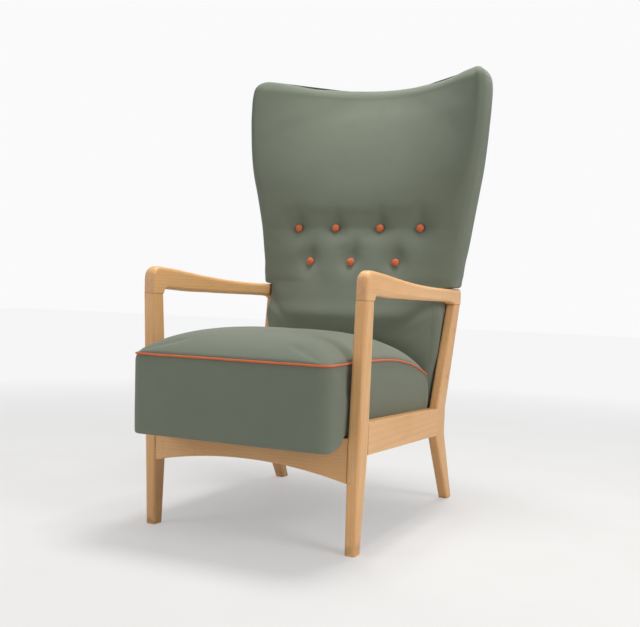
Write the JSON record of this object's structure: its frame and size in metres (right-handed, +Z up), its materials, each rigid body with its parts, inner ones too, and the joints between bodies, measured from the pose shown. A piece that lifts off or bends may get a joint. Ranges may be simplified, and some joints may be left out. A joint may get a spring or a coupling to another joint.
{
  "type": "fireside chair",
  "caption": "High wing-back fireside chair with an open beech frame, a boxed sprung seat with contrasting piping and a buttoned back.",
  "frame": {"origin": "middle of the chair's footprint, on the floor under its four feet", "axes": "+Z up, -Y the way the chair faces, +X across it"},
  "size_m": [0.651, 0.8556, 1.098],
  "materials": {
    "beech": "oiled, with softly rounded edges",
    "frame_timber": "sawn and planed, hidden",
    "cover_fabric": "matt woven wool",
    "contrast_fabric": "matt woven wool",
    "stuffing": "felted wadding",
    "jute": "coarse jute",
    "dust_cloth": "thin black cloth",
    "steel": "bare"
  },
  "bodies": {
    "root": {"front_leg_left": "beech", "front_leg_right": "beech", "rear_leg_left": "beech", "rear_leg_right": "beech", "arm_left": "beech", "arm_right": "beech", "front_rail": "beech", "rear_rail": "beech", "side_rail_left": "beech", "side_rail_right": "beech", "arm_dowels": "frame_timber", "front_rail_dowels": "frame_timber", "rear_rail_dowels": "frame_timber", "side_rail_dowels": "frame_timber", "corner_blocks": "frame_timber", "corner_block_screws": "steel", "seat_cleats": "frame_timber", "seat_frame_front": "frame_timber", "seat_frame_rear": "frame_timber", "seat_frame_left": "frame_timber", "seat_frame_right": "frame_timber", "seat_webbing_lengthwise": "jute", "seat_webbing_crosswise": "jute", "seat_springs": "steel", "seat_hessian": "jute", "seat_padding": "stuffing", "seat_top_cover": "cover_fabric", "seat_border_cover": "cover_fabric", "seat_piping": "contrast_fabric", "seat_dust_cover": "dust_cloth", "back_upright_left": "frame_timber", "back_upright_right": "frame_timber", "wing_frame_left": "frame_timber", "wing_frame_right": "frame_timber", "back_bottom_rail": "frame_timber", "back_middle_rail": "frame_timber", "back_top_rail": "frame_timber", "back_webbing": "jute", "back_padding": "stuffing", "back_cover": "cover_fabric", "outside_back_cover": "cover_fabric", "buttons": "contrast_fabric", "button_twines": "jute", "back_screws": "steel", "post_plugs": "beech"}
  },
  "joints": []
}
